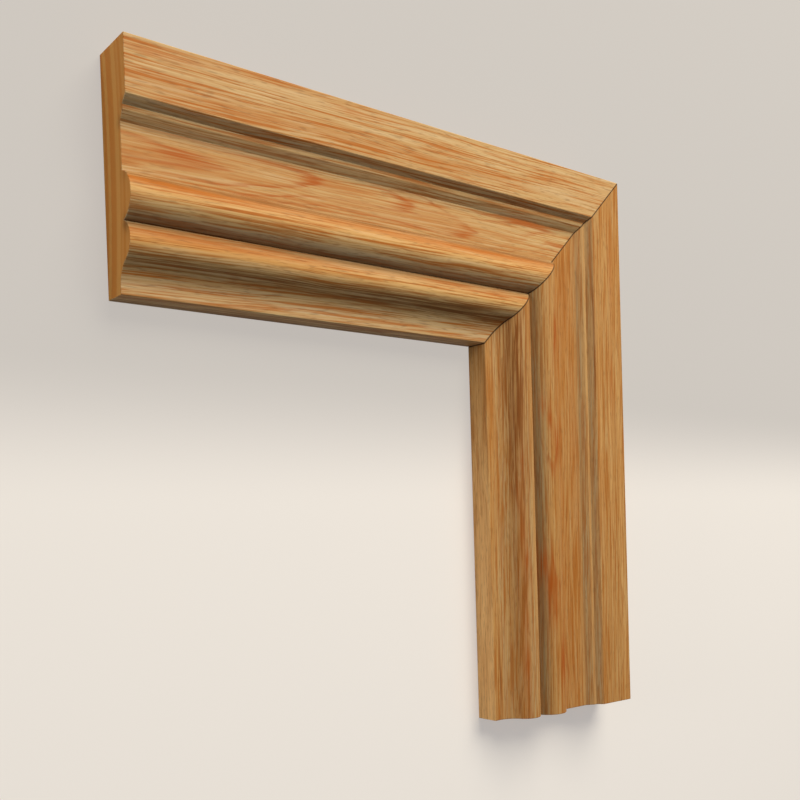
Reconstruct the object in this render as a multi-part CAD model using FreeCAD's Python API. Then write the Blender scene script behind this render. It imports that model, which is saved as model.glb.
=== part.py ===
import FreeCAD, Part
import math
import os

# Corner of a moulded oak architrave: a head length and a leg length of one section, mitred together.
# It lies on its flat back. +Z is the moulded face, the head runs along X and the leg along Y.
# The origin is on the floor, under the middle of the square that the two lengths fill.

# Driving dimensions, in millimetres.
# The two lengths, each measured along its outer edge.
HEAD_LENGTH = 300.0
LEG_LENGTH = 300.0

# The section's thickness: the crown of the large bead touches the face of the planed stock.
STOCK_THICKNESS = 25.0
LIP_THICKNESS = 12.7

# The section's outer side: a flat band, a bevel, a narrow fillet, a second bevel and the flat field.
BAND_WIDTH = 23.6
BAND_DROP = 1.8
FIRST_BEVEL_WIDTH = 3.2
FIRST_BEVEL_DEPTH = 3.3
FILLET_WIDTH = 2.0
SECOND_BEVEL_WIDTH = 4.0
SECOND_BEVEL_DEPTH = 2.4
FIELD_WIDTH = 19.2

# The section's inner side: the large bead, the small bead, the hollow below it and the plain lip.
LARGE_BEAD_WIDTH = 19.6
SMALL_BEAD_WIDTH = 15.6
SMALL_BEAD_DROP = 2.0
OGEE_WIDTH = 16.8
LIP_WIDTH = 3.8

# Sharp outer edges are eased by hand to this radius.
ARRIS_RADIUS = 0.5

# Heights of the section's flats above the back.
band_height = STOCK_THICKNESS - BAND_DROP
fillet_height = band_height - FIRST_BEVEL_DEPTH
field_height = fillet_height - SECOND_BEVEL_DEPTH
small_crown_height = STOCK_THICKNESS - SMALL_BEAD_DROP

# Places along the section's width, counted from the outer edge.
fillet_start = BAND_WIDTH + FIRST_BEVEL_WIDTH
fillet_end = fillet_start + FILLET_WIDTH
field_start = fillet_end + SECOND_BEVEL_WIDTH
field_end = field_start + FIELD_WIDTH
quirk = field_end + LARGE_BEAD_WIDTH
small_crown = quirk + SMALL_BEAD_WIDTH / 2
lip_start = small_crown + OGEE_WIDTH
face_width = lip_start + LIP_WIDTH

# The outer corner, where the two outer edges meet.
corner_x = HEAD_LENGTH / 2
corner_y = LEG_LENGTH / 2


def bead_radius(width, rise):
    """Radius of the circle whose arc is this wide at its foot and stands this high."""
    return ((width / 2) ** 2 + rise ** 2) / (2 * rise)


def ogee_points():
    """Points on the arcs that fall from the small bead's crown to the lip.

    The bead's arc turns into the hollow's arc at one slope. Over the drop from the crown to the
    lip, the two radii together are (width squared + drop squared) / (2 x drop).
    """
    drop = small_crown_height - LIP_THICKNESS
    both_radii = (OGEE_WIDTH ** 2 + drop ** 2) / (2 * drop)
    bead = bead_radius(SMALL_BEAD_WIDTH, small_crown_height - field_height)
    hollow = both_radii - bead
    slope = math.acos(1 - drop / both_radii)
    turn = (small_crown + bead * math.sin(slope), small_crown_height - bead * (1 - math.cos(slope)))
    half = slope / 2
    middle = (lip_start - hollow * math.sin(half), LIP_THICKNESS + hollow * (1 - math.cos(half)))
    return turn, middle


def eased_corner(place, height, inwards):
    """Start, middle and end of the arc that eases a square front corner of the section."""
    reach = ARRIS_RADIUS
    tuck = ARRIS_RADIUS * (1 - math.sqrt(0.5))
    side = (place, height - reach)
    middle = (place + inwards * tuck, height - tuck)
    face = (place + inwards * reach, height)
    return side, middle, face


def section_steps():
    """The section's outline as steps from the back outer corner: one point is a line, two are an arc."""
    outer_side, outer_middle, outer_face = eased_corner(0, band_height, 1)
    inner_side, inner_middle, inner_face = eased_corner(face_width, LIP_THICKNESS, -1)
    turn, hollow_middle = ogee_points()
    return [
        [outer_side],
        [outer_middle, outer_face],
        [(BAND_WIDTH, band_height)],
        [(fillet_start, fillet_height)],
        [(fillet_end, fillet_height)],
        [(field_start, field_height)],
        [(field_end, field_height)],
        [(field_end + LARGE_BEAD_WIDTH / 2, STOCK_THICKNESS), (quirk, field_height)],
        [(small_crown, small_crown_height), turn],
        [hollow_middle, (lip_start, LIP_THICKNESS)],
        [inner_face],
        [inner_middle, inner_side],
        [(face_width, 0)],
        [(0, 0)],
    ]


def section_face(place):
    """The section as a flat face. place(width, height) puts a point of the section in space."""
    edges = []
    last = place(0, 0)
    for step in section_steps():
        points = [place(*point) for point in step]
        if len(points) == 1:
            edges.append(Part.LineSegment(last, points[0]).toShape())
        else:
            edges.append(Part.Arc(last, points[0], points[1]).toShape())
        last = points[-1]
    return Part.Face(Part.Wire(edges))


def mitre_waste(side):
    """The wedge cut off one side of the mitre: side 1 is the leg's side and side -1 is the head's."""
    reach = face_width
    start = FreeCAD.Vector(corner_x + reach, corner_y + reach, -reach)
    end = FreeCAD.Vector(corner_x - 2 * reach, corner_y - 2 * reach, -reach)
    third = FreeCAD.Vector(corner_x + reach, corner_y - 2 * reach, -reach)
    if side < 0:
        third = FreeCAD.Vector(corner_x - 2 * reach, corner_y + reach, -reach)
    wedge = Part.Face(Part.makePolygon([start, end, third, start]))
    return wedge.extrude(FreeCAD.Vector(0, 0, STOCK_THICKNESS + 2 * reach))


def head():
    """The head length: the section carried along X and mitred at its right end."""
    face = section_face(lambda width, height: FreeCAD.Vector(-corner_x, corner_y - width, height))
    return face.extrude(FreeCAD.Vector(HEAD_LENGTH, 0, 0)).cut(mitre_waste(1))


def leg():
    """The leg length: the section carried along Y and mitred at its upper end."""
    face = section_face(lambda width, height: FreeCAD.Vector(corner_x - width, -corner_y, height))
    return face.extrude(FreeCAD.Vector(0, LEG_LENGTH, 0)).cut(mitre_waste(-1))


def main():
    os.makedirs("parts", exist_ok=True)
    for name, shape in (("architrave_head", head()), ("architrave_leg", leg())):
        solid = shape.Solids[0]
        solid.exportStep(f"parts/{name}.step")
        box = solid.BoundBox
        size = f"{box.XLength:.2f} x {box.YLength:.2f} x {box.ZLength:.2f} mm"
        print(name, solid.isValid(), len(shape.Solids), size, f"{solid.Volume / 1000:.1f} cm3")
    print("face width", round(face_width, 3))


main()
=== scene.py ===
# %% [markdown]
# # A mitred corner of oak architrave
#
# An architrave is the moulded trim round a door. This one is the top corner of a set: a head length and
# a leg length of the same section, cut at 45 degrees and glued. It lies on its flat back with the
# moulded face up, so +Z comes out of the face, the head runs along X and the leg runs along Y.
#
# The construction is already fixed by the solids of the frame. This file dresses those solids: it
# remakes both lengths as finer surfaces with eased edges, and gives them the wood.

# %% Load the frame
import math

import bmesh
import bpy
import numpy as np
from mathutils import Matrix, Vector


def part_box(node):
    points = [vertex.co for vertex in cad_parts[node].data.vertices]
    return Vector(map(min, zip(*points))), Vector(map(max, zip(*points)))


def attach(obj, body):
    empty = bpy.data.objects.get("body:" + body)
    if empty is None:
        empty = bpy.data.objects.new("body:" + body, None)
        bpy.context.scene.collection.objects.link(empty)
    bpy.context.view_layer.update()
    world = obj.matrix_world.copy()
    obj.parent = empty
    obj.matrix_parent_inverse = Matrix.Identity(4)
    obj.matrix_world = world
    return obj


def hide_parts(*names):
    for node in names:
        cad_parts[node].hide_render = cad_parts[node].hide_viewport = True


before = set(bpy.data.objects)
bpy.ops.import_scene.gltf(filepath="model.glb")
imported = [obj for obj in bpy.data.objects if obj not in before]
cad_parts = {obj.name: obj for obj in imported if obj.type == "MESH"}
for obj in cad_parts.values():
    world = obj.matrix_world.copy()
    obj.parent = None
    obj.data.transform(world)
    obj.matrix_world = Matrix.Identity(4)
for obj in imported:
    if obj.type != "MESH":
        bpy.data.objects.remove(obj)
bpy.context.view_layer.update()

MM = 0.001
HEAD = "architrave_head"
LEG = "architrave_leg"
head_low, head_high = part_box(HEAD)
leg_low, leg_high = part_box(LEG)
HEAD_LENGTH = (head_high.x - head_low.x) / MM
LEG_LENGTH = (leg_high.y - leg_low.y) / MM
FACE_WIDTH = (head_high.y - head_low.y) / MM
THICKNESS = (head_high.z - head_low.z) / MM
CORNER = (head_high.x, leg_high.y)
print(f"head {HEAD_LENGTH:.1f} mm, leg {LEG_LENGTH:.1f} mm, face {FACE_WIDTH:.1f} x {THICKNESS:.1f} mm")

# %% [markdown]
# ## The section
#
# A moulding is a section carried along a straight line, so everything starts with a good section. From
# the outer edge inwards it has a flat band, a bevel, a narrow fillet, a second bevel, a flat field, a
# large bead, a small bead, a hollow and a plain lip. It could be traced by hand as a list of points,
# but short functions for a straight run, an arc and an eased edge say what a joiner means by it,
# and they put more points where the surface turns.

# %% Sizes of the section, in millimetres
BAND_WIDTH = 23.6
BAND_DROP = 1.8
FIRST_BEVEL_WIDTH = 3.2
FIRST_BEVEL_DEPTH = 3.3
FILLET_WIDTH = 2.0
SECOND_BEVEL_WIDTH = 4.0
SECOND_BEVEL_DEPTH = 2.4
FIELD_WIDTH = 19.2
LARGE_BEAD_WIDTH = 19.6
SMALL_BEAD_WIDTH = 15.6
SMALL_BEAD_DROP = 2.0
OGEE_WIDTH = 16.8
LIP_HEIGHT = 12.7

# Heights above the back.
BAND_HEIGHT = THICKNESS - BAND_DROP
FILLET_HEIGHT = BAND_HEIGHT - FIRST_BEVEL_DEPTH
FIELD_HEIGHT = FILLET_HEIGHT - SECOND_BEVEL_DEPTH
SMALL_CROWN_HEIGHT = THICKNESS - SMALL_BEAD_DROP

# Places across the face, counted from the outer edge.
FILLET_START = BAND_WIDTH + FIRST_BEVEL_WIDTH
FILLET_END = FILLET_START + FILLET_WIDTH
FIELD_START = FILLET_END + SECOND_BEVEL_WIDTH
FIELD_END = FIELD_START + FIELD_WIDTH
QUIRK = FIELD_END + LARGE_BEAD_WIDTH
SMALL_CROWN = QUIRK + SMALL_BEAD_WIDTH / 2
LIP_START = SMALL_CROWN + OGEE_WIDTH
print(f"the lip starts {LIP_START:.1f} mm from the outer edge and is {FACE_WIDTH - LIP_START:.1f} mm wide")

# %% Corners of the section, as (across, height)
OUTER_CORNER = (0.0, BAND_HEIGHT)
BAND_CORNER = (BAND_WIDTH, BAND_HEIGHT)
FILLET_FOOT = (FILLET_START, FILLET_HEIGHT)
FILLET_CORNER = (FILLET_END, FILLET_HEIGHT)
FIELD_FOOT = (FIELD_START, FIELD_HEIGHT)
BEAD_FOOT = (FIELD_END, FIELD_HEIGHT)
LARGE_TOP = (FIELD_END + LARGE_BEAD_WIDTH / 2, THICKNESS)
QUIRK_BOTTOM = (QUIRK, FIELD_HEIGHT)
SMALL_TOP = (SMALL_CROWN, SMALL_CROWN_HEIGHT)
LIP_CORNER = (LIP_START, LIP_HEIGHT)
INNER_CORNER = (FACE_WIDTH, LIP_HEIGHT)
print(f"the quirk lies {QUIRK:.1f} mm in, and {THICKNESS - FIELD_HEIGHT:.1f} mm below the large bead's top")

# %% Runs, arcs and eased edges
RUN_STEP = 0.9
ARC_STEP = 0.55
LEAST_IN_RUN = 4
LEAST_IN_ARC = 6
POINTS_IN_EASE = 6

# Sharp edges are rubbed down with paper: the outer ones most.
OUTER_EASE = 0.5
STEP_EASE = 0.3


def crowded(count):
    """Numbers from 0 up to, not including, 1 that crowd at both ends: half of 1 minus the cosine."""
    return (1 - np.cos(np.pi * np.arange(count) / count)) / 2


def straight(start, end):
    """A straight run from start up to, not including, end, its points crowded at both ends."""
    start = np.array(start)
    end = np.array(end)
    count = max(LEAST_IN_RUN, round(np.linalg.norm(end - start) / RUN_STEP))
    return start + crowded(count)[:, None] * (end - start)


def arc(centre, radius, first, last):
    """A circle's arc: centre + radius x (sine, cosine) of an angle that is 0 at the circle's top."""
    count = max(LEAST_IN_ARC, round(abs(last - first) * abs(radius) / ARC_STEP))
    angle = first + crowded(count) * (last - first)
    return np.array(centre) + radius * np.c_[np.sin(angle), np.cos(angle)]


def eased(before, corner, after, reach):
    """A rubbed-down edge: a parabola that leaves one run and joins the next, `reach` from the corner."""
    before = np.array(before)
    corner = np.array(corner)
    after = np.array(after)
    start = corner + reach * (before - corner) / np.linalg.norm(before - corner)
    end = corner + reach * (after - corner) / np.linalg.norm(after - corner)
    t = (np.arange(POINTS_IN_EASE) / POINTS_IN_EASE)[:, None]
    return (1 - t) ** 2 * start + 2 * t * (1 - t) * corner + t ** 2 * end, start, end


print("four crowded steps:", crowded(4).round(2))


# %% The front of the section, from the outer side to the inner side
def bead_radius(width, rise):
    """Radius of the circle whose arc is this wide at its foot and stands this high."""
    return ((width / 2) ** 2 + rise ** 2) / (2 * rise)


def section_front():
    """The moulded front as an array of (across, height) points.

    The beads are arcs over their width and rise. From the small bead's top its arc falls and turns
    into the hollow's arc at one slope. Over the drop to the lip, the two radii together are
    (width squared + drop squared) / (2 x drop).
    """
    outer_edge, _, band_from = eased((0, 0), OUTER_CORNER, BAND_CORNER, OUTER_EASE)
    band_edge, band_to, bevel_from = eased(OUTER_CORNER, BAND_CORNER, FILLET_FOOT, STEP_EASE)
    fillet_edge, fillet_to, second_from = eased(FILLET_FOOT, FILLET_CORNER, FIELD_FOOT, STEP_EASE)
    inner_edge, lip_to, inner_side = eased(LIP_CORNER, INNER_CORNER, (FACE_WIDTH, 0), OUTER_EASE)

    large = bead_radius(LARGE_BEAD_WIDTH, THICKNESS - FIELD_HEIGHT)
    large_half = math.asin(LARGE_BEAD_WIDTH / 2 / large)
    small = bead_radius(SMALL_BEAD_WIDTH, SMALL_CROWN_HEIGHT - FIELD_HEIGHT)
    small_half = math.asin(SMALL_BEAD_WIDTH / 2 / small)
    drop = SMALL_CROWN_HEIGHT - LIP_HEIGHT
    both_radii = (OGEE_WIDTH ** 2 + drop ** 2) / (2 * drop)
    hollow = both_radii - small
    slope = math.acos(1 - drop / both_radii)

    return np.concatenate([
        outer_edge,
        straight(band_from, band_to),
        band_edge,
        straight(bevel_from, FILLET_FOOT),
        straight(FILLET_FOOT, fillet_to),
        fillet_edge,
        straight(second_from, FIELD_FOOT),
        straight(FIELD_FOOT, BEAD_FOOT),
        arc((LARGE_TOP[0], THICKNESS - large), large, -large_half, large_half),
        arc((SMALL_CROWN, SMALL_CROWN_HEIGHT - small), small, -small_half, slope),
        arc((LIP_START, LIP_HEIGHT + hollow), -hollow, slope, 0),
        straight(LIP_CORNER, lip_to),
        inner_edge,
        inner_side[None, :],
    ])


FRONT = section_front()
print(f"section: {len(FRONT)} points across the front, highest {FRONT[:, 1].max():.2f} mm")

# %% [markdown]
# ### Marked places on the section
#
# Some places on a moulding always look a little different: raised edges that paper and hands rub pale,
# a painted highlight on the crowns, and painted shade in the inner corners and the quirk.
# Blender can guess such places from pointiness, which changes with the mesh, or from occlusion, which
# changes with whatever stands near. Here each one is a point on the section with a reach, so it is
# exact and the same all along.


# %% Marks: across, height and reach
def mark(corner, reach, across=0.0, up=0.0):
    """A marked place at a corner of the section, or this far across and up from it."""
    return corner[0] + across, corner[1] + up, reach


EDGE_REACH = 0.7
HIGHLIGHT_REACH = 2.4
STEP_REACH = 2.6
MARKS = {
    "raised": [mark(edge, EDGE_REACH) for edge in (OUTER_CORNER, BAND_CORNER, FILLET_CORNER, INNER_CORNER)],
    # These marks paint a highlight on the tops of the two beads.
    "crown": [mark(LARGE_TOP, HIGHLIGHT_REACH, across=-1.0, up=-0.1), mark(SMALL_TOP, HIGHLIGHT_REACH, across=0.6)],
    # The step and quirk marks paint shade into the inner corners, at the large bead's foot and beside the
    # quirk.
    "step": [
        mark(FILLET_FOOT, STEP_REACH),
        mark(FIELD_FOOT, STEP_REACH),
        mark(BEAD_FOOT, reach=3.0, across=1.2, up=2.6),
    ],
    "quirk": [
        mark(QUIRK_BOTTOM, reach=3.3, across=1.6, up=2.6),
        mark(QUIRK_BOTTOM, reach=3.8, across=-2.4, up=3.6),
    ],
}
print("marks:", {kind: len(places) for kind, places in MARKS.items()})

# %% [markdown]
# ## The tree inside the board
#
# Oak's figure isn't painted on the face: it is where the face cuts the tree's growth rings. A board sawn
# beside the heart shows a row of pointed arches with straight lines on both sides, and its sawn ends
# show flat bows. A texture image could show one side of that. Here every point keeps a ring number,
# which goes round all sides: its whole part counts years, and the rest says how far through a year
# the wood is. The number grows along the row of arches, sideways from it, and with the height.

# %% Ring numbers
DEPTH_SHARE = 0.6
BEND_LENGTHS = np.array((290, 120, 53))
BEND_HEIGHTS = np.array((1.0, 0.5, 0.2))
END_PITH_BELOW = 420.0
END_RING_WIDTH = 2.4


def slow_bend(along, phases):
    """A slow bend of the trunk: the sum of three sines of the distance along the grain."""
    turns = 2 * np.pi * along[..., None] / BEND_LENGTHS + np.array(phases)
    return (BEND_HEIGHTS * np.sin(turns)).sum(-1)


def ring_number(along, across, height, board):
    """Years counted along the row of arches, plus years counted sideways from its axis.

    The axis passes through the arches' tips, and each tip starts a new year. Sideways the years grow
    with (the root of (side squared + spread squared) - spread) / ring width, which is round at a tip
    and straight beside it. A share of the height above the field is added to that distance, so that
    the lines shift where a bead stands proud.
    """
    tips = np.array(board["tips"])
    years = np.interp(along, tips[:, 0], np.arange(len(tips)))
    axis = np.interp(along, tips[:, 0], tips[:, 1])
    side = across - axis + slow_bend(along, board["phases"])
    sideways = np.hypot(side, board["spread"]) - board["spread"]
    return years + (sideways + DEPTH_SHARE * (height - FIELD_HEIGHT)) / board["ring_width"]


def end_ring_number(across, height, board):
    """Rings on the sawn ends: flat bows about a pith far below the board, a distance / a ring width."""
    side = across - board["pith_across"]
    return np.hypot(side, height + END_PITH_BELOW) / END_RING_WIDTH


print(f"a sawn end shows about {THICKNESS / END_RING_WIDTH:.0f} rings")

# %% [markdown]
# ### Two uneven boards
#
# The head and the leg were sawn from different boards, and both are uneven, as oak is. The arches show in
# a few places only. Some stretches run to orange, to pale sapwood, to ash grey or to dark heartwood,
# some tips of arches flare red, and calm stretches have fewer lines. A painted mask could hold all
# that, but a mask is an image. Short lists of soft spots do the same: each is a place
# along the board and across it from the outer edge, a reach both ways and a strength. The last
# lines of each board say how strongly the marked places of the section show on it.
# A few of the spots below are painted light and painted shade rather than wood.


# %% Soft spots
def spots(along, across, places):
    """The strongest of several bell-shaped spots: (along, across, reach along, reach across, strength)."""
    places = np.array(places)
    along_gap = (along[:, None] - places[:, 0]) / places[:, 2]
    across_gap = (across[:, None] - places[:, 1]) / places[:, 3]
    return (places[:, 4] * np.exp(-along_gap ** 2 - across_gap ** 2)).max(axis=1)


def closeness(across, height, places, strengths):
    """The strongest of the bell curves that stand on marked places of the section."""
    places = np.array(places)
    gap = np.hypot(across[:, None] - places[:, 0], height[:, None] - places[:, 1])
    return (np.array(strengths) * np.exp(-((gap / places[:, 2]) ** 2))).max(axis=1)


print("a spot one reach away still counts for", round(math.exp(-1), 2), "of its strength")

# %% The head's board
HEAD_BOARD = {
    "tips": [(-40, 43), (43, 42.5), (102, 37.5), (157, 40), (195, 45), (245, 34), (310, 40)],
    "spread": 32.0,
    "ring_width": 1.05,
    "phases": (0.4, 2.1, 4.0),
    "pith_across": 42.0,
    "figure": [
        (22, 41.5, 24, 5, 1.0), (88, 38, 26, 6, 1.0), (60, 47, 34, 4.5, 0.9), (150, 38, 18, 7, 1.0),
        (184, 46, 16, 4, 0.9), (226, 34, 26, 5, 1.0), (256, 40, 16, 5, 0.8), (150, 49, 40, 3, 0.6),
    ],
    "orange_band": [
        (0, 56.0, 60, 1.6, 1.0), (20, 56.8, 70, 2.3, 1.0), (170, 56.6, 110, 3.4, 0.80),
        (30, 77.6, 90, 3.6, 0.85), (150, 76.5, 120, 3.0, 0.35), (40, 2.0, 80, 1.8, 0.3),
        (50, 17.5, 90, 3.6, 0.45), (160, 16.8, 70, 2.2, 0.45), (20, 42, 20, 2.2, 0.20),
        (165, 42, 60, 7.0, 0.14), (222, 34, 16, 2.5, 0.35),
    ],
    "pale_band": [
        (100, 5, 220, 1.5, 0.65), (100, 10.5, 220, 1.4, 0.25), (60, 96, 90, 4.0, 0.35),
        # The pale spot at 69.8 across is painted light: it lifts and greys the shade under the large bead,
        # beside the quirk.
        (110, 69.8, 250, 1.9, 0.7), (265, 12, 45, 9.0, 0.35),
    ],
    "dark_band": [
        (170, 86.2, 90, 3.8, 1.0), (60, 86.0, 80, 3.0, 0.65), (140, 65.5, 200, 2.4, 0.35),
        (60, 29.5, 200, 1.8, 0.35), (170, 30, 60, 2.0, 0.6), (190, 25, 80, 1.8, 0.4),
        # The last spot of the next line darkens the head's inner side: painted shade, in the heartwood tone.
        (60, 54.8, 90, 1.3, 0.7), (175, 53.6, 110, 1.7, 1.0), (100, 100.6, 300, 0.9, 1.0),
    ],
    "ash_band": [
        # The ash spot at 70.4 across is painted light: it lifts the shade under the large bead, beside the
        # quirk.
        (100, 31, 400, 2.6, 0.5), (100, 25.2, 400, 1.8, 0.6), (100, 70.4, 300, 2.0, 1.0),
        (80, 95.5, 300, 4.0, 0.55),
    ],
    "flare": [
        (26, 42, 11, 1.7, 0.75), (93, 38.5, 6, 1.5, 0.5), (148, 37, 4, 1.8, 0.6), (180, 46, 10, 1.2, 0.45),
        (228, 33.5, 16, 1.7, 0.7),
    ],
    "calm": [(100, 43, 220, 8, 0.50), (100, 100.5, 600, 0.6, 0.5)],
    # How strongly the marks show: worn edges, a painted highlight on the bead tops, and painted shade at the
    # steps and in the quirk.
    "raised": (0.1, 1.0, 1.0, 1.0),
    "crown": (0.60, 0.7),
    "step": (0.42, 0.60, 0.45),
    "quirk": (0.80, 0.08),
}
print("the head shows its arches in", len(HEAD_BOARD["figure"]), "places")

# %% The leg's board
LEG_BOARD = {
    "tips": [(-30, 55), (38, 57), (86, 66), (150, 58), (213, 57), (270, 60), (330, 58)],
    "spread": 45.0,
    "ring_width": 1.1,
    "phases": (3.3, 0.7, 1.9),
    "pith_across": 58.0,
    "figure": [
        (26, 57, 18, 9, 1.0), (68, 66, 24, 5, 1.0), (140, 58, 16, 9, 1.0), (158, 68, 12, 4, 0.7),
        (206, 57, 14, 7, 0.9),
    ],
    "orange_band": [
        (10, 40, 80, 14, 0.12), (150, 53, 300, 7, 0.25), (150, 38, 70, 4, 0.3), (225, 42, 45, 8, 0.25),
        (40, 84, 150, 2.0, 0.45), (185, 10, 22, 1.2, 0.6), (250, 9, 26, 1.2, 0.6),
        (64, 66.5, 22, 2.8, 0.6), (28, 56, 12, 4.5, 0.6), (146, 57, 6, 7.0, 0.4), (208, 54, 6, 5.0, 0.4),
    ],
    "pale_band": [
        # The first pale spot, on the inner side near the free end, is painted light: it makes that side
        # lighter towards the free end.
        (40, 100.2, 130, 0.5, 0.95), (110, 4, 120, 2.0, 0.3), (110, 73.6, 300, 2.2, 0.4),
        (150, 12.5, 70, 1.6, 0.25), (150, 20.6, 70, 1.5, 0.3), (250, 12, 45, 9.0, 0.12),
        (150, 28.0, 400, 0.8, 0.4),
    ],
    "dark_band": [
        (185, 84.8, 90, 4.6, 0.8), (60, 83.5, 80, 2.4, 0.35), (210, 23.9, 70, 0.5, 0.6),
        (25, 95.5, 25, 0.7, 0.7),
    ],
    "ash_band": [
        (150, 31, 500, 2.6, 0.8), (150, 25.2, 500, 1.8, 0.85), (130, 70.4, 220, 3.0, 1.0),
        (60, 80, 170, 5.0, 0.6), (100, 91.5, 300, 4.0, 0.45),
    ],
    "flare": [
        (82, 69, 9, 2.1, 0.9), (72, 66.5, 10, 2.3, 1.0), (60, 63.5, 11, 2.4, 0.9), (28, 59, 11, 2.2, 1.0),
        (168, 68, 6, 1.4, 0.9), (160, 64.5, 6, 1.6, 1.0), (153, 61, 6, 1.6, 0.9), (210, 57, 8, 2.4, 0.9),
        (86, 82.6, 9, 1.2, 0.85), (75, 81.5, 7, 1.0, 0.7), (31, 83.5, 10, 1.4, 0.85), (52, 83.5, 8, 1.0, 0.6),
        (100, 84.5, 10, 1.0, 0.6), (118, 85.5, 9, 1.0, 0.6), (136, 84, 8, 1.0, 0.5),
    ],
    "calm": [(100, 50, 600, 200, 0.25)],
    # How strongly the marks show: worn edges, a painted highlight on the bead tops, and painted shade at the
    # steps and in the quirk.
    "raised": (0.1, 1.0, 1.0, 1.0),
    "crown": (0.0, 0.0),
    "step": (0.35, 0.35, 0.2),
    "quirk": (0.0, 0.5),
}
print("the leg shows its arches in", len(LEG_BOARD["figure"]), "places")

# %% [markdown]
# ## Carrying the section to the mitre
#
# Each length is a grid: one direction goes round the section, and the other goes along the board. The
# last row of the grid isn't square to the board but lies on the mitre plane: a point further in
# travels less far. A Boolean cut would also make the mitre, but it leaves ragged triangles, and the
# grid keeps every line straight. Next to both ends the front sinks a hair, which eases the
# end's edge and leaves a fine groove where the two lengths meet.

# %% Rows along the board
END_EASE = 0.2
MITRE_GROOVE = 0.14
STATIONS = 150
SANDING_WAVE = 0.02
FIRST_WAVE = (17.0, 29.0)
SECOND_WAVE = (41.0, -11.0)


def outward(front):
    """Outward unit normal of the section at each point: its tangent, turned a quarter to the left."""
    tangent = np.gradient(front, axis=0)
    normal = np.c_[-tangent[:, 1], tangent[:, 0]]
    return normal / np.linalg.norm(normal, axis=1, keepdims=True)


def stations_along(width, length):
    """Places along the board for every section point: rows x points, the last row on the mitre plane.

    Point by point the mitre lies at the length minus the width. The first and last gaps are the
    eased ends, and the rows between are evenly spread.
    """
    mitre = length - width
    start = np.full_like(width, END_EASE)
    stop = mitre - MITRE_GROOVE * math.sqrt(2)
    share = np.linspace(0, 1, STATIONS)[:, None]
    inside = start + share * (stop - start)
    return np.vstack([np.zeros_like(width)[None], inside, mitre[None]])


def sanding_waves(along, across):
    """How far the sanded face lies below the true section.

    It is the wave's height times half of (1 + the product of two long sines).
    """
    first = np.sin(along / FIRST_WAVE[0] + across / FIRST_WAVE[1])
    second = np.sin(along / SECOND_WAVE[0] + across / SECOND_WAVE[1])
    return SANDING_WAVE * (0.5 + 0.5 * first * second)


def front_grid(length):
    """The front of one length: how far along each point lies, and its (across, height), row by row."""
    front = np.broadcast_to(FRONT, (STATIONS + 2, len(FRONT), 2))
    along = stations_along(FRONT[:, 0], length)
    sink = sanding_waves(along, front[..., 0])
    sink[0] = END_EASE
    sink[-1] = MITRE_GROOVE
    front = front - sink[..., None] * outward(FRONT)
    along[-1] = length - front[-1, :, 0]
    return along, front


print(f"{STATIONS + 2} rows along each length, sanded flat to {SANDING_WAVE} mm")

# %% Round the section and across the ends
SIDE_ROWS = 7


def length_grids(length):
    """Round-the-section grid of one length, and its two end grids, as (along, across, height) arrays.

    The back is the front laid flat, and the two sides are straight steps between front and back. An
    end is filled with straight steps from its back up to its front.
    """
    along, front = front_grid(length)
    share = (np.arange(1, SIDE_ROWS + 1) / (SIDE_ROWS + 1))[None, :, None]
    back = np.stack([front[..., 0], np.zeros_like(front[..., 1])], axis=-1)
    inner = front[:, -1:] + share * (back[:, -1:] - front[:, -1:])
    outer = back[:, :1] + share * (front[:, :1] - back[:, :1])
    loop = np.concatenate([front, inner, back[:, ::-1], outer], axis=1)
    fill = np.ones((1, SIDE_ROWS))
    loop_along = np.concatenate([along, along[:, -1:] * fill, along[:, ::-1], along[:, :1] * fill], axis=1)
    around = np.concatenate([loop_along[..., None], loop], axis=2)

    rise = np.linspace(0, 1, SIDE_ROWS + 2)[:, None, None]
    ends = []
    for row in (0, -1):
        flat = back[row] + rise * (front[row] - back[row])
        reach = np.broadcast_to(along[row][:, None], (SIDE_ROWS + 2, len(FRONT), 1))
        ends.append(np.concatenate([reach, flat], axis=2))
    return around, ends


def grid_quads(rows, columns, closed):
    """Corner numbers of a grid's quads. A closed grid joins its last column to its first."""
    number = np.arange(rows * columns).reshape(rows, columns)
    right = np.roll(number, -1, axis=1)
    width = columns if closed else columns - 1
    quads = np.stack([number[:-1], right[:-1], right[1:], number[1:]], axis=-1)
    return quads[:, :width].reshape(-1, 4)


def length_surface(length):
    """All points of one length and the quads between them: the round grid first, then the two ends."""
    around, ends = length_grids(length)
    points = [around.reshape(-1, 3)]
    quads = [grid_quads(around.shape[0], around.shape[1], closed=True)]
    for end in ends:
        start = sum(len(block) for block in points)
        points.append(end.reshape(-1, 3))
        quads.append(grid_quads(end.shape[0], end.shape[1], closed=False) + start)
    return np.concatenate(points), np.concatenate(quads)


print(f"{SIDE_ROWS} points up each plain side")

# %% [markdown]
# ### From a grid to a piece
#
# Blender keeps a value at every vertex as an attribute, which a material can read. So the mesh carries
# what the tree knows: ring numbers, soft spots and marks. The ends are grids of their own, so the
# doubled points along their rims are merged, and the piece is closed. Only corners sharper than
# the section's own curves keep a hard edge in the shading.

# %% A length as a closed mesh
WELD_REACH = 0.002 * MM
HARD_EDGE = math.radians(24)
SPOT_LISTS = ("figure", "orange_band", "pale_band", "dark_band", "ash_band", "flare", "calm")


def wood_values(along, across, height, board):
    """What every vertex keeps: two ring numbers, a value for each list of spots and for each mark."""
    values = {
        "ring_number": ring_number(along, across, height, board),
        "end_ring": end_ring_number(across, height, board),
    }
    for label in SPOT_LISTS:
        values[label] = spots(along, across, board[label])
    for kind, places in MARKS.items():
        values[kind] = closeness(across, height, places, board[kind])
    return values


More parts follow.
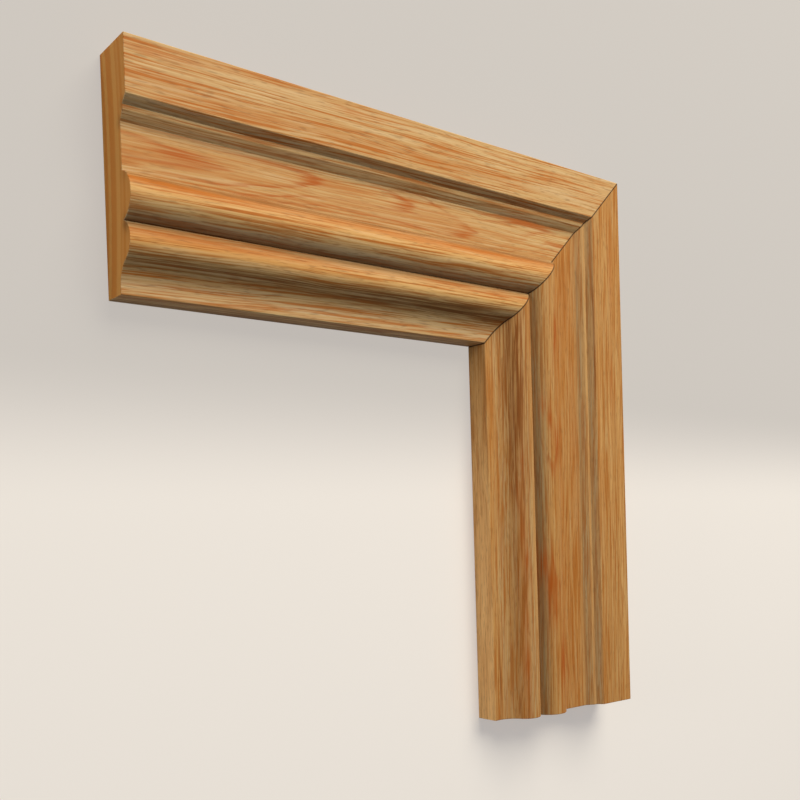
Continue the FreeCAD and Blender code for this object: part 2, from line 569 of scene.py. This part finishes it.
def length_of_moulding(name, length, board, place):
    """One length as a closed mesh. place(along, across, height) gives its points in the frame, in mm."""
    points, quads = length_surface(length)
    along, across, height = points.T
    mesh = bpy.data.meshes.new(name)
    mesh.from_pydata(place(along, across, height) * MM, [], quads)
    for label, values in wood_values(along, across, height, board).items():
        layer = mesh.attributes.new(label, "FLOAT", "POINT")
        layer.data.foreach_set("value", values.astype(np.float32))

    shell = bmesh.new()
    shell.from_mesh(mesh)
    bmesh.ops.remove_doubles(shell, verts=shell.verts, dist=WELD_REACH)
    bmesh.ops.recalc_face_normals(shell, faces=shell.faces)
    shell.to_mesh(mesh)
    open_edges = sum(not edge.is_manifold for edge in shell.edges)
    shell.free()
    mesh.shade_smooth()
    mesh.set_sharp_from_angle(angle=HARD_EDGE)

    piece = bpy.data.objects.new(name, mesh)
    bpy.context.scene.collection.objects.link(piece)
    print(f"{name}: {len(mesh.polygons)} quads, {open_edges} open edges")
    return piece


# %% The head and the leg
def head_place(along, across, height):
    """The head starts at its free end on the left, and its width runs down from its outer edge."""
    return np.c_[head_low.x / MM + along, CORNER[1] / MM - across, height]


def leg_place(along, across, height):
    """The leg starts at its free end, and its width runs to the left from its outer edge."""
    return np.c_[CORNER[0] / MM - across, leg_low.y / MM + along, height]


head = length_of_moulding("oak_head_length", HEAD_LENGTH, HEAD_BOARD, head_place)
leg = length_of_moulding("oak_leg_length", LEG_LENGTH, LEG_BOARD, leg_place)
for piece, node in ((head, HEAD), (leg, LEG)):
    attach(piece, "root")
    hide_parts(node)

# %% [markdown]
# ## Reading the tree in a shader
#
# The finish has to turn a ring number into wood. Effects that both lengths share are node groups, built
# once and placed in each material with its own values: the rings, the fibres with their pores, and
# the worn edges and the painted shade in the corners. A group hands out only what varies over
# the surface, and the shader itself stays in the material.


# %% Small tools for node trees
def linear(red, green, blue):
    """A colour as a screen shows it, 0 to 255, as the linear colour that a shader works with.

    The screen's curve has a short straight foot, and above it goes with a power of 2.4.
    """
    shown = np.array([red, green, blue]) / 255
    low = shown / 12.92
    high = ((shown + 0.055) / 1.055) ** 2.4
    return (*np.where(shown <= 0.04045, low, high).tolist(), 1.0)


def add(tree, kind, inputs=(), **settings):
    """A new node with its settings, and for each (socket, value) a link from a socket or a plain value."""
    node = tree.nodes.new(kind)
    for label, value in settings.items():
        setattr(node, label, value)
    for label, value in inputs:
        if isinstance(value, bpy.types.NodeSocket):
            tree.links.new(value, node.inputs[label])
        else:
            node.inputs[label].default_value = value
    return node


def new_group(name, inputs, outputs):
    """An empty node group with named sockets: (name, kind, default) in, and names of numbers out."""
    tree = bpy.data.node_groups.new(name, "ShaderNodeTree")
    for label, kind, default in inputs:
        socket = tree.interface.new_socket(label, in_out="INPUT", socket_type=kind)
        if default is not None:
            socket.default_value = default
    for label in outputs:
        tree.interface.new_socket(label, in_out="OUTPUT", socket_type=FLOAT)
    return tree, tree.nodes.new("NodeGroupInput"), tree.nodes.new("NodeGroupOutput")


FLOAT = "NodeSocketFloat"
VECTOR = "NodeSocketVector"
print("a grey that a screen shows as 128 is", round(linear(128, 128, 128)[0], 3), "to a shader")


# %% Sums, ramps, blends and streaks
def math_node(tree, operation, *values):
    """The result of one sum on numbers or sockets."""
    return add(tree, "ShaderNodeMath", list(enumerate(values)), operation=operation).outputs[0]


def scaled(tree, value, factor, extra):
    """A value times a factor, plus an extra."""
    return math_node(tree, "MULTIPLY_ADD", value, factor, extra)


def product(tree, first, *others):
    """Values or sockets multiplied together."""
    for other in others:
        first = math_node(tree, "MULTIPLY", first, other)
    return first


def ramp_between(tree, value, low, high, to_low=0.0, to_high=1.0):
    """A value carried smoothly from one range to another, and held at the ends."""
    inputs = [("Value", value), ("From Min", low), ("From Max", high),
              ("To Min", to_low), ("To Max", to_high)]
    return add(tree, "ShaderNodeMapRange", inputs, interpolation_type="SMOOTHSTEP").outputs[0]


def blend_colours(tree, share, first, second):
    """Two colours mixed by a share. The node's colour sockets are numbers 6 and 7 in, and 2 out."""
    mix = add(tree, "ShaderNodeMix", [(0, share), (6, first), (7, second)], data_type="RGBA")
    return mix.outputs[2]


def lay(tree, colour, tone, *shares):
    """A colour with a tone laid over it, as strongly as the shares multiplied together."""
    return blend_colours(tree, product(tree, *shares), colour, tone)


def stretched_noise(tree, vector, scale, detail, roughness=0.5):
    """Noise on coordinates stretched by three factors, so that it draws streaks along the grain."""
    stretch = add(tree, "ShaderNodeVectorMath", [(0, vector), (1, scale)], operation="MULTIPLY")
    inputs = [("Vector", stretch.outputs[0]), ("Scale", 1.0), ("Detail", detail), ("Roughness", roughness)]
    return add(tree, "ShaderNodeTexNoise", inputs).outputs["Fac"]


# %% [markdown]
# ### Growth rings
#
# Each year an oak grows a ring: open early wood first, then denser late wood. Under this finish the late
# wood shows as a red-brown line, which ends where the next spring begins. A wave texture would give
# stripes of one kind. The part of the ring number after the point has the same rhythm, and it
# follows the arches.

# %% Group: growth rings
LATE_FULL = 0.86
LATE_STOP = (0.88, 1.0, 1.0, 0.0)
TONE_PACE = 0.45
TONE_DETAIL = 1.5
TONE_RANGE = (0.38, 0.64)


def growth_rings_group():
    """Masks of the late wood of each year, and of the tone of each run of years.

    The late wood grows over the late share of the year and falls away quickly at its end. Streaks of
    the fibres push the ring number to and fro, which feathers the arches along the grain. A slow
    noise of the number alone gives each run of years a tone of its own.
    """
    inputs = [("Ring Number", FLOAT, 0.0), ("Feather", FLOAT, 0.5), ("Ragged", FLOAT, 1.0),
              ("Late Share", FLOAT, 0.5)]
    tree, given, result = new_group("growth_rings", inputs, ["Late Wood", "Year Tone"])
    sway = math_node(tree, "SUBTRACT", given.outputs["Feather"], 0.5)
    number = scaled(tree, sway, given.outputs["Ragged"], given.outputs["Ring Number"])
    year = math_node(tree, "FRACT", number)
    begin = math_node(tree, "SUBTRACT", 1.0, given.outputs["Late Share"])
    grow = ramp_between(tree, year, begin, LATE_FULL)
    stop = ramp_between(tree, year, *LATE_STOP)
    tree.links.new(product(tree, grow, stop), result.inputs["Late Wood"])
    inputs = [("W", product(tree, number, TONE_PACE)), ("Scale", 1.0), ("Detail", TONE_DETAIL)]
    tone = add(tree, "ShaderNodeTexNoise", inputs, noise_dimensions="1D")
    tree.links.new(ramp_between(tree, tone.outputs["Fac"], *TONE_RANGE), result.inputs["Year Tone"])
    return tree


RINGS = growth_rings_group()
print("node group:", RINGS.name)

# %% [markdown]
# ### Fibres and pores
#
# Between the rings, oak is all lines: fibres of several widths that run with the grain and wander a
# little, and open pores that show as short dark dashes. Scratches painted by hand would repeat. Noise
# that is squeezed across the grain and drawn out along it never does.

# %% Group: fibres and pores
# Each noise: its factors along and across the grain, its detail, its roughness, and if it wanders.
STREAKS = {
    "Hair": ((24, 1250, 1250), 2.0, 0.60, True),
    "Fine": ((28, 680, 680), 2.0, 0.55, True),
    "Broad": ((11, 300, 300), 2.0, 0.50, False),
    "Patch": ((8, 70, 70), 2.0, 0.50, True),
    "Grey": ((15, 1150, 1150), 2.0, 0.60, True),
    "Pores": ((200, 1350, 1350), 1.0, 0.50, True),
}
WANDER = 3.0 * MM
WANDER_SCALE = (14, 60, 60)
WANDER_DETAIL = 1.0
PORE_RANGE = (0.52, 0.74)


def fibres_group():
    """Noises drawn out along X of the coordinates, from hair lines to patches as wide as a bead.

    A slow noise, from minus half to plus half of the wander, is added to Y and Z first, so that the
    lines bend together. Pores keep only the peaks of their noise.
    """
    tree, given, result = new_group("oak_fibres", [("Along Grain", VECTOR, None)], list(STREAKS))
    straight_grain = given.outputs["Along Grain"]
    slow = stretched_noise(tree, straight_grain, WANDER_SCALE, WANDER_DETAIL)
    sway = scaled(tree, slow, WANDER, -WANDER / 2)
    bend = add(tree, "ShaderNodeCombineXYZ", [("Y", sway), ("Z", sway)]).outputs[0]
    inputs = [(0, straight_grain), (1, bend)]
    bent_grain = add(tree, "ShaderNodeVectorMath", inputs, operation="ADD").outputs[0]
    for label, (scale, detail, roughness, wanders) in STREAKS.items():
        streaks = stretched_noise(tree, bent_grain if wanders else straight_grain, scale, detail, roughness)
        if label == "Pores":
            streaks = ramp_between(tree, streaks, *PORE_RANGE)
        tree.links.new(streaks, result.inputs[label])
    return tree


FIBRES = fibres_group()
print("node group:", FIBRES.name, "with", len(STREAKS), "noises")

# %% [markdown]
# ### Wear and painted shade
#
# Paper and hands wear raised edges paler, and the inner corners and the quirk get painted shade, never
# quite evenly. A plain dark line in each corner would look drawn. So the marks of the section are broken
# up by a slow noise.

# %% Group: wear and painted shade
UNEVEN_SCALE = (14, 160, 160)
UNEVEN_DETAIL = 2.0
WORN_RANGE = (0.30, 0.70)
SHADE_RANGE = (0.70, 0.30, 0.65, 1.0)


def wear_and_shade_group():
    """Worn raised edges, and painted shade at the steps and in the quirk: each mark times a ramp of one slow
    noise.
    """
    inputs = [("Vector", VECTOR, None), ("Raised", FLOAT, 0.0), ("Step", FLOAT, 0.0), ("Quirk", FLOAT, 0.0)]
    tree, given, result = new_group("wear_and_shade", inputs, ["Worn Edge", "Painted Step Shade", "Painted Quirk Shade"])
    patchy = stretched_noise(tree, given.outputs["Vector"], UNEVEN_SCALE, UNEVEN_DETAIL)
    worn = ramp_between(tree, patchy, *WORN_RANGE)
    dark = ramp_between(tree, patchy, *SHADE_RANGE)
    for label, source, uneven in (("Worn Edge", "Raised", worn), ("Painted Step Shade", "Step", dark),
                                  ("Painted Quirk Shade", "Quirk", dark)):
        tree.links.new(product(tree, given.outputs[source], uneven), result.inputs[label])
    return tree


WEAR_AND_SHADE = wear_and_shade_group()
print("node group:", WEAR_AND_SHADE.name)

# %% [markdown]
# ## Clear-finished oak
#
# The finish is a thin clear coat over honey-coloured oak, so what shows is the wood. Its colour is laid
# on in layers, as a grainer paints: pale and brown patches, bands of sapwood, ash grey lines, pale
# lines, orange bands, red-brown lines, the late wood of the arches, dark bands and pores. One noise
# through a colour ramp would be quicker, but then all lines would be of one kind. The numbers
# below say over which range of a noise a layer comes in, and how strongly.

# %% How the layers come in
# Two noises mixed into one.
FEATHER_MIX = (0.4, 0.6)
LINE_MIX = (0.60, 0.40)

# Range of the noise, and the strength at both ends of it.
PATCHES = (0.38, 0.64)
GREY_LINES = (0.46, 0.60)
PALE_LINES = (0.46, 0.36, 0.0, 0.50)
ORANGE_STREAKS = (0.32, 0.60, 0.70, 1.0)
RED_LINES = (0.46, 0.61, 0.0, 0.97)
BROKEN_ARCHES = (0.36, 0.58, 0.50, 1.0)
BROKEN_DARK = (0.42, 0.57, 0.20, 1.0)
BROKEN_FLARES = (0.40, 0.56, 0.35, 1.0)

# Factor and extra: how much a spot's value changes a layer.
YEAR_BY_CALM = (0.35, 0.10)
GREY_BY_ASH = (0.60, 0.15)
ASH_WASH = 0.35
LINES_BY_SAPWOOD = (-0.55, 1.0)
ARCHES_BY_FIGURE = (1.00, 0.15)
PORES_BY_CALM = (-0.36, 0.36)
PAINTED_HIGHLIGHT_SHARE = 0.55
RAGGED_ARCHES = 1.15
LATE_SHARE = 0.42
RAGGED_ENDS = 0.4
print("a red-brown line covers up to", RED_LINES[-1], "of the wood below it")


# %% The patterns of one board
def attribute(tree, label):
    """A value that the mesh keeps at every vertex."""
    return add(tree, "ShaderNodeAttribute", attribute_name=label).outputs["Fac"]


def oak_patterns(tree, along):
    """The three groups placed in a material: a dictionary of their outputs, by name."""
    fibres = add(tree, "ShaderNodeGroup", [("Along Grain", along)], node_tree=FIBRES)
    pattern = {label: fibres.outputs[label] for label in STREAKS}
    feather = scaled(tree, pattern["Fine"], FEATHER_MIX[0], product(tree, pattern["Broad"], FEATHER_MIX[1]))
    fine_share = product(tree, pattern["Fine"], LINE_MIX[1])
    pattern["Lines"] = scaled(tree, pattern["Hair"], LINE_MIX[0], fine_share)

    inputs = [("Ring Number", attribute(tree, "ring_number")), ("Feather", feather),
              ("Ragged", RAGGED_ARCHES), ("Late Share", LATE_SHARE)]
    rings = add(tree, "ShaderNodeGroup", inputs, node_tree=RINGS)
    pattern.update({label: rings.outputs[label] for label in ("Late Wood", "Year Tone")})
    inputs = [("Ring Number", attribute(tree, "end_ring")), ("Feather", pattern["Broad"]),
              ("Ragged", RAGGED_ENDS)]
    end_rings = add(tree, "ShaderNodeGroup", inputs, node_tree=RINGS)
    pattern["End Tone"] = end_rings.outputs["Year Tone"]

    inputs = [(label, attribute(tree, label.lower())) for label in ("Raised", "Step", "Quirk")]
    wear = add(tree, "ShaderNodeGroup", [("Vector", along), *inputs], node_tree=WEAR_AND_SHADE)
    pattern.update({label: wear.outputs[label] for label in ("Worn Edge", "Painted Step Shade", "Painted Quirk Shade")})
    return pattern


# %% The colour along the grain
def face_colour(tree, pattern, tones):
    """Layers of tone, from broad patches to pores, on wood that is cut along the grain."""
    calm = attribute(tree, "calm")
    sapwood = attribute(tree, "pale_band")
    ash = attribute(tree, "ash_band")
    lines = pattern["Lines"]
    even = scaled(tree, sapwood, *LINES_BY_SAPWOOD)
    strength = math_node(tree, "SUBTRACT", even, calm)

    patches = ramp_between(tree, pattern["Patch"], *PATCHES)
    colour = blend_colours(tree, patches, tones["body"], tones["pale"])
    colour = lay(tree, colour, tones["sapwood"], sapwood)
    colour = lay(tree, colour, tones["streak"], pattern["Year Tone"], scaled(tree, calm, *YEAR_BY_CALM))
    grey = ramp_between(tree, pattern["Grey"], *GREY_LINES)
    wash = scaled(tree, grey, scaled(tree, ash, *GREY_BY_ASH), product(tree, ash, ASH_WASH))
    colour = lay(tree, colour, tones["ash"], wash)
    colour = lay(tree, colour, tones["light"], ramp_between(tree, lines, *PALE_LINES), strength)

    streaky = ramp_between(tree, pattern["Fine"], *ORANGE_STREAKS)
    colour = lay(tree, colour, tones["orange"], attribute(tree, "orange_band"), streaky)
    # A painted highlight on the tops of the beads.
    colour = lay(tree, colour, tones["crown"], attribute(tree, "crown"), PAINTED_HIGHLIGHT_SHARE)
    colour = lay(tree, colour, tones["streak"], ramp_between(tree, lines, *RED_LINES), strength)

    arches = product(tree, pattern["Late Wood"], scaled(tree, attribute(tree, "figure"), *ARCHES_BY_FIGURE))
    broken = ramp_between(tree, pattern["Hair"], *BROKEN_ARCHES)
    colour = lay(tree, colour, tones["flame"], arches, broken, even)
    dark = attribute(tree, "dark_band")
    colour = lay(tree, colour, tones["heartwood"], dark, ramp_between(tree, lines, *BROKEN_DARK))
    return lay(tree, colour, tones["pore"], pattern["Pores"], scaled(tree, calm, *PORES_BY_CALM))


# %% [markdown]
# ### Ends, edges and the glue line
#
# Where the saw has cut across the fibres, at the free ends, the wood drinks the finish and turns darker
# and duller. Those faces could have a second material. But a face that looks along the grain is an
# end, so the surface's own direction tells them apart. Worn edges and painted shade go over everything,
# then the red flares, and last the thin dark line of glue, which lies where X and Y are equal: on the mitre.

# %% Ends, edges and glue
END_RANGE = (0.80, 0.97)
GLUE_LINE = (0.25 * MM, 0.75 * MM, 0.85, 0.0)
# Each mark of wear and painted shade: the tone it takes, and how strongly.
WEAR_AND_SHADE_TONES = (("Worn Edge", "pale", 0.25), ("Painted Step Shade", "step", 0.85), ("Painted Quirk Shade", "quirk", 0.92))


def end_faces(tree, place, grain):
    """1 on faces that look along the grain, 0 on the others: the size of normal times direction."""
    inputs = [(0, place.outputs["Normal"]), (1, grain)]
    facing = add(tree, "ShaderNodeVectorMath", inputs, operation="DOT_PRODUCT").outputs["Value"]
    return ramp_between(tree, math_node(tree, "ABSOLUTE", facing), *END_RANGE)


def finished_colour(tree, pattern, tones, end, place):
    """The colour along the grain, with the sawn ends, the worn edges and painted shade, the flares and the
    glue line.
    """
    end_tone = blend_colours(tree, pattern["End Tone"], tones["end_pale"], tones["end_dark"])
    colour = lay(tree, face_colour(tree, pattern, tones), end_tone, end)
    for label, tone, share in WEAR_AND_SHADE_TONES:
        colour = lay(tree, colour, tones[tone], pattern[label], share)
    flare = attribute(tree, "flare")
    colour = lay(tree, colour, tones["flame"], flare, ramp_between(tree, pattern["Lines"], *BROKEN_FLARES))
    sides = add(tree, "ShaderNodeSeparateXYZ", [("Vector", place.outputs["Object"])])
    gap = math_node(tree, "SUBTRACT", sides.outputs["X"], sides.outputs["Y"])
    glue = ramp_between(tree, math_node(tree, "ABSOLUTE", gap), *GLUE_LINE)
    return lay(tree, colour, tones["glue"], glue)


# %% The whole finish
DULL = 0.60
DULL_BY = (("Late Wood", -0.06), ("End", 0.18), ("Painted Quirk Shade", 0.12))
PORE_DEPTH = -0.6
LATE_RISE = 0.2
BUMP = (("Strength", 0.16), ("Distance", 0.04 * MM))
SPECULAR = 0.08
COAT = 0.02
COAT_ROUGHNESS = 0.30


def oak(name, tones, grain, turn, shift, stretch):
    """Clear-finished oak. grain is the board's direction, and turn brings X of the pattern onto it.

    shift and stretch give each board a part of the pattern that the other doesn't have.
    """
    material = bpy.data.materials.new(name)
    material.use_nodes = True
    tree = material.node_tree
    tree.nodes.clear()
    place = add(tree, "ShaderNodeTexCoord")
    inputs = [("Vector", place.outputs["Object"]), ("Rotation", (0, 0, turn)), ("Location", shift),
              ("Scale", stretch)]
    pattern = oak_patterns(tree, add(tree, "ShaderNodeMapping", inputs).outputs[0])
    pattern["End"] = end_faces(tree, place, grain)
    colour = finished_colour(tree, pattern, tones, pattern["End"], place)

    dull = DULL
    for label, change in DULL_BY:
        dull = scaled(tree, pattern[label], change, dull)
    relief = scaled(tree, pattern["Pores"], PORE_DEPTH, pattern["Hair"])
    relief = scaled(tree, pattern["Late Wood"], LATE_RISE, relief)
    bump = add(tree, "ShaderNodeBump", [*BUMP, ("Height", relief)])

    inputs = [("Base Color", colour), ("Roughness", dull), ("Normal", bump.outputs[0])]
    shader = add(tree, "ShaderNodeBsdfPrincipled", inputs)
    shader.inputs["Specular IOR Level"].default_value = SPECULAR
    shader.inputs["Coat Weight"].default_value = COAT
    shader.inputs["Coat Roughness"].default_value = COAT_ROUGHNESS
    output = add(tree, "ShaderNodeOutputMaterial")
    tree.links.new(shader.outputs[0], output.inputs["Surface"])
    return material


# %% [markdown]
# ### Two boards, two tones
#
# The head is honey-coloured and the leg a little browner. Each board has a palette of its own, written as
# a screen shows it, and one function builds both materials. The fibres run at a slight angle to the
# edges, as they do in a board that wasn't sawn quite true to the trunk.

# %% Tones of the head and the leg
# The crown tone is a painted highlight, and the step and quirk tones are painted shade.
HEAD_TONES = {
    "body": linear(201, 154, 98), "pale": linear(207, 165, 110), "light": linear(224, 189, 146),
    "sapwood": linear(222, 184, 134), "ash": linear(206, 178, 140), "crown": linear(242, 182, 104),
    "orange": linear(184, 98, 16), "streak": linear(184, 104, 38), "flame": linear(178, 92, 34),
    "heartwood": linear(128, 84, 44), "pore": linear(126, 78, 40), "step": linear(96, 74, 46),
    "quirk": linear(80, 58, 34), "end_pale": linear(204, 143, 74), "end_dark": linear(194, 122, 54),
    "glue": linear(50, 32, 18),
}
LEG_TONES = {
    "body": linear(187, 130, 69), "pale": linear(192, 141, 83), "light": linear(201, 160, 111),
    "sapwood": linear(244, 190, 125), "ash": linear(184, 155, 114), "crown": linear(226, 162, 88),
    "orange": linear(174, 88, 26), "streak": linear(164, 92, 27), "flame": linear(164, 80, 22),
    "heartwood": linear(122, 66, 26), "pore": linear(112, 70, 36), "step": linear(156, 124, 84),
    "quirk": linear(112, 88, 54), "end_pale": linear(200, 141, 74), "end_dark": linear(190, 120, 54),
    "glue": linear(50, 32, 18),
}
print(len(HEAD_TONES), "tones for the head and", len(LEG_TONES), "for the leg")

# %% The two materials
GRAIN_TILT = math.radians(1.2)
head_oak = oak("oak_of_the_head", HEAD_TONES, grain=(1, 0, 0), turn=-GRAIN_TILT,
               shift=(1.3, 0.2, 0.1), stretch=(0.75, 1, 1))
leg_oak = oak("oak_of_the_leg", LEG_TONES, grain=(0, 1, 0), turn=GRAIN_TILT - math.pi / 2,
              shift=(4.1, 0.6, 0.3), stretch=(1, 1, 1))
for piece, node, material in ((head, HEAD, head_oak), (leg, LEG, leg_oak)):
    piece.data.materials.append(material)
    for material_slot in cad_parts[node].material_slots:
        material_slot.material = material
print("materials:", head_oak.name, leg_oak.name)

# %% [markdown]
# ## Floor
#
# The corner lies on a plain pale card that turns greyer beyond the middle and far away, where it meets
# the backdrop. Lit by lamps alone, a card never shows its colour evenly. So for rays that see it, part
# of its colour comes from a glow of its own, and the rest is real light with the corner's shadow.
# Rays that only gather light see a plain card, so the glow adds no light to the wood.


# %% Rays that see the card and the backdrop
def seen_rays(tree):
    """1 for rays that the eye, a gloss or glass sends out, and 0 for rays that only gather light."""
    ray = add(tree, "ShaderNodeLightPath")
    direct = math_node(tree, "MAXIMUM", ray.outputs["Is Camera Ray"], ray.outputs["Is Glossy Ray"])
    return math_node(tree, "MAXIMUM", direct, ray.outputs["Is Transmission Ray"])


# %% Pale card, in metres
FLOOR_REACH = 3.0
FLOOR_GAP = 0.2 * MM
FLOOR_NEAR = linear(242, 232, 225)
FLOOR_FAR = linear(205, 198, 191)
FLOOR_FADE = (-0.036, 0.030)
FLOOR_EDGE = (0.55, 1.40)
GLOW_NEAR = 0.46
GLOW_FAR = 0.84
FLOOR_ROUGHNESS = 0.9
FLOOR_SPECULAR = 0.2
BLACK = linear(0, 0, 0)


def card_material():
    """The near tone fades to the far tone along Y, and again with the distance from the middle.

    The glow's share grows with both fades, up to 1 far away. The base colour keeps the rest.
    """
    material = bpy.data.materials.new("pale_floor")
    material.use_nodes = True
    tree = material.node_tree
    place = add(tree, "ShaderNodeTexCoord").outputs["Object"]
    sides = add(tree, "ShaderNodeSeparateXYZ", [("Vector", place)])
    far = ramp_between(tree, sides.outputs["Y"], *FLOOR_FADE)
    reach = add(tree, "ShaderNodeVectorMath", [(0, place)], operation="LENGTH").outputs["Value"]
    away = ramp_between(tree, reach, *FLOOR_EDGE)
    card = blend_colours(tree, far, FLOOR_NEAR, FLOOR_FAR)
    card = blend_colours(tree, away, card, FLOOR_FAR)
    glow = scaled(tree, far, GLOW_FAR - GLOW_NEAR, GLOW_NEAR)
    glow = scaled(tree, away, math_node(tree, "SUBTRACT", 1.0, glow), glow)
    glow = product(tree, glow, seen_rays(tree))

    shader = tree.nodes["Principled BSDF"]
    tree.links.new(blend_colours(tree, glow, card, BLACK), shader.inputs["Base Color"])
    tree.links.new(card, shader.inputs["Emission Color"])
    tree.links.new(glow, shader.inputs["Emission Strength"])
    shader.inputs["Roughness"].default_value = FLOOR_ROUGHNESS
    shader.inputs["Specular IOR Level"].default_value = FLOOR_SPECULAR
    return material


def pale_floor():
    """A level square of card, a hair below the corner's back."""
    mesh = bpy.data.meshes.new("floor")
    corners = np.array([(-1, -1, 0), (1, -1, 0), (1, 1, 0), (-1, 1, 0)]) * FLOOR_REACH
    corners[:, 2] = -FLOOR_GAP
    mesh.from_pydata(corners, [], [(0, 1, 2, 3)])
    mesh.materials.append(card_material())
    floor = bpy.data.objects.new("floor", mesh)
    bpy.context.scene.collection.objects.link(floor)
    return floor


floor = pale_floor()
print(f"{floor.name}: {2 * FLOOR_REACH:.0f} m square")

# %% [markdown]
# ## Light
#
# A moulding is read by its shadows. One large soft lamp stands beyond the head and a little to the right,
# just over 40 degrees up, so the upper sides of the beads are bright and their lower sides dark. A
# small low one on the left lights the head's free end, and a faint cool sky fills the rest. A bare
# sun would be simpler, but its shadows are hard. The eye sees the backdrop's grey instead of the sky.

# %% Lamps
LAMP_AIM = Vector((0.0, 0.05, 0.0))


def soft_lamp(name, place, size, power, colour):
    """A square soft lamp of this size in metres and power in watts, turned to face the corner."""
    light = bpy.data.lights.new(name, "AREA")
    light.size = size
    light.energy = power
    light.color = colour[:3]
    lamp = bpy.data.objects.new(name, light)
    lamp.location = place
    lamp.rotation_euler = (lamp.location - LAMP_AIM).to_track_quat("Z", "Y").to_euler()
    bpy.context.scene.collection.objects.link(lamp)
    return lamp


key = soft_lamp("key_lamp", (0.44, 1.45, 1.36), size=1.4, power=57.0, colour=linear(255, 252, 236))
low_fill = soft_lamp("fill_lamp", (-2.60, 0.15, 0.37), size=0.5, power=15.0, colour=linear(255, 255, 250))
print("lamps:", key.name, low_fill.name)

# %% Sky
SKY_STRENGTH = 0.18
SKY_COLOUR = linear(192, 232, 255)


def even_sky():
    """A world that lights evenly, and that rays which see it show as the backdrop."""
    world = bpy.data.worlds.new("even_sky")
    world.use_nodes = True
    tree = world.node_tree
    sky = tree.nodes["Background"]
    sky.inputs["Color"].default_value = SKY_COLOUR
    sky.inputs["Strength"].default_value = SKY_STRENGTH
    backdrop = add(tree, "ShaderNodeBackground", [("Color", FLOOR_FAR)])
    inputs = [(0, seen_rays(tree)), (1, sky.outputs[0]), (2, backdrop.outputs[0])]
    shown = add(tree, "ShaderNodeMixShader", inputs)
    tree.links.new(shown.outputs[0], tree.nodes["World Output"].inputs["Surface"])
    return world


bpy.context.scene.world = even_sky()
print("sky:", bpy.context.scene.world.name)

# %% [markdown]
# ## Camera
#
# The camera sees the corner as a visitor would: from the left of the leg, level with its lower half and
# turned almost 40 degrees to the face. As the object lies on its back, that puts the camera above
# the floor, looking down, with the head's outer edge at the top of the picture. Tilting the camera
# up would make the leg lean, so the lens is raised instead, as on a view camera.

# %% Camera and view
CAMERA_PLACE = (-0.31228, -0.04812, 0.38821)
CAMERA_TURN = (0.264, -38.711, -2.252)
CAMERA_LENS = 44.22
CAMERA_RAISE = 0.1894
FILM_WIDTH = 36.0
NEAREST = 0.01

lens = bpy.data.cameras.new("camera")
lens.lens = CAMERA_LENS
lens.sensor_width = FILM_WIDTH
lens.shift_y = CAMERA_RAISE
lens.clip_start = NEAREST
camera = bpy.data.objects.new("camera", lens)
camera.location = CAMERA_PLACE
camera.rotation_euler = [math.radians(angle) for angle in CAMERA_TURN]
bpy.context.scene.collection.objects.link(camera)
bpy.context.scene.camera = camera
bpy.context.scene.view_settings.view_transform = "Standard"
print("camera at", CAMERA_PLACE)
